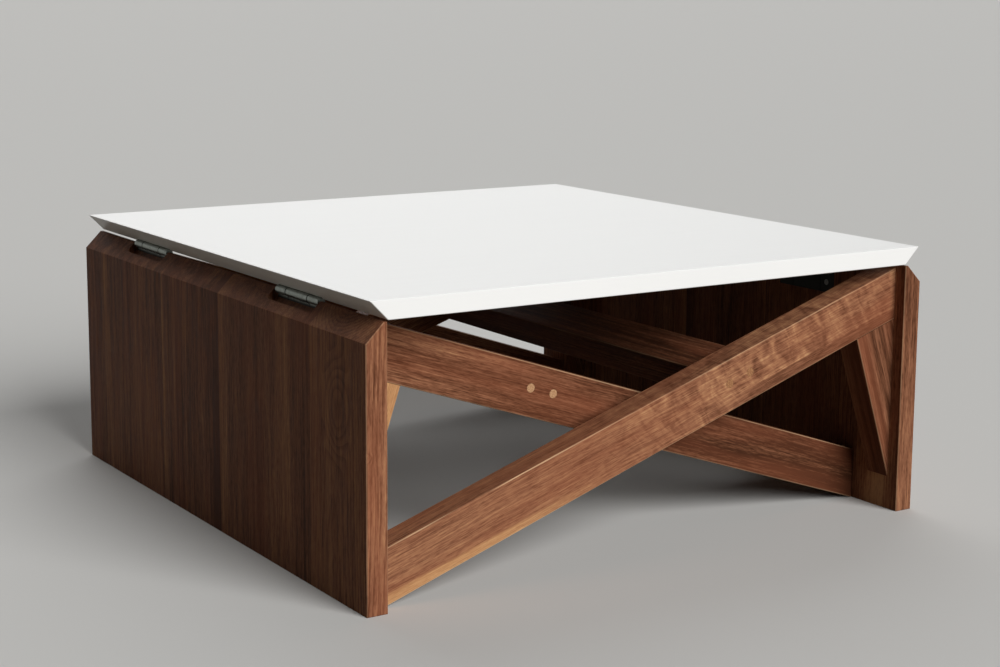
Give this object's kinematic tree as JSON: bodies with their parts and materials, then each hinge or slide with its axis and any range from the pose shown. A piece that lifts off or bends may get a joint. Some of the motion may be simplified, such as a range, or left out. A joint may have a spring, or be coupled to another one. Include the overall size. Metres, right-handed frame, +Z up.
{
  "type": "transforming coffee and dining table",
  "caption": "Low square table with a white top hinged to walnut side frames whose panels swing out level as leaves while their sloping beams become legs.",
  "frame": {"origin": "floor level under the middle of the table", "axes": "+X along the front to the right, +Y to the back, +Z up"},
  "size_m": [0.77, 0.78, 0.3305],
  "materials": {
    "white_lacquer": "satin white lacquer",
    "walnut_panel": "oiled dark walnut",
    "walnut_beam": "oiled walnut",
    "dowel_wood": "sanded hardwood",
    "hinge_steel": "dark bronzed steel",
    "screw_steel": "dark bronzed steel"
  },
  "bodies": {
    "top": {"top_panel": "white_lacquer", "top_hinge_screws": "screw_steel", "right_front_hinge_top_leaf": "hinge_steel", "right_rear_hinge_top_leaf": "hinge_steel", "left_front_hinge_top_leaf": "hinge_steel", "left_rear_hinge_top_leaf": "hinge_steel"},
    "right_side": {"right_panel_board_1": "walnut_panel", "right_panel_board_2": "walnut_panel", "right_panel_board_3": "walnut_panel", "right_panel_board_4": "walnut_panel", "right_cross_rail": "walnut_beam", "right_rail_dowels": "dowel_wood", "right_panel_dowels": "dowel_wood", "right_hinge_screws": "screw_steel", "right_front_beam": "walnut_beam", "right_front_wedge": "walnut_beam", "right_front_hinge_panel_leaf": "hinge_steel", "right_front_hinge_pin": "hinge_steel", "right_rear_beam": "walnut_beam", "right_rear_wedge": "walnut_beam", "right_rear_hinge_panel_leaf": "hinge_steel", "right_rear_hinge_pin": "hinge_steel"},
    "left_side": {"left_panel_board_1": "walnut_panel", "left_panel_board_2": "walnut_panel", "left_panel_board_3": "walnut_panel", "left_panel_board_4": "walnut_panel", "left_cross_rail": "walnut_beam", "left_rail_dowels": "dowel_wood", "left_panel_dowels": "dowel_wood", "left_hinge_screws": "screw_steel", "left_front_beam": "walnut_beam", "left_front_wedge": "walnut_beam", "left_front_hinge_panel_leaf": "hinge_steel", "left_front_hinge_pin": "hinge_steel", "left_rear_beam": "walnut_beam", "left_rear_wedge": "walnut_beam", "left_rear_hinge_panel_leaf": "hinge_steel", "left_rear_hinge_pin": "hinge_steel"}
  },
  "joints": [
    {"name": "right_swing", "type": "hinge", "parent": "top", "child": "right_side", "pos_m": [0.361, 0, 0.3065], "axis": [0, -1, 0], "range_deg": [0, 90]},
    {"name": "left_swing", "type": "hinge", "parent": "top", "child": "left_side", "pos_m": [-0.361, 0, 0.3065], "axis": [0, 1, 0], "range_deg": [0, 90]}
  ],
  "couplings": [
    {"joint": "left_swing", "follows": "right_swing", "ratio": 1}
  ]
}
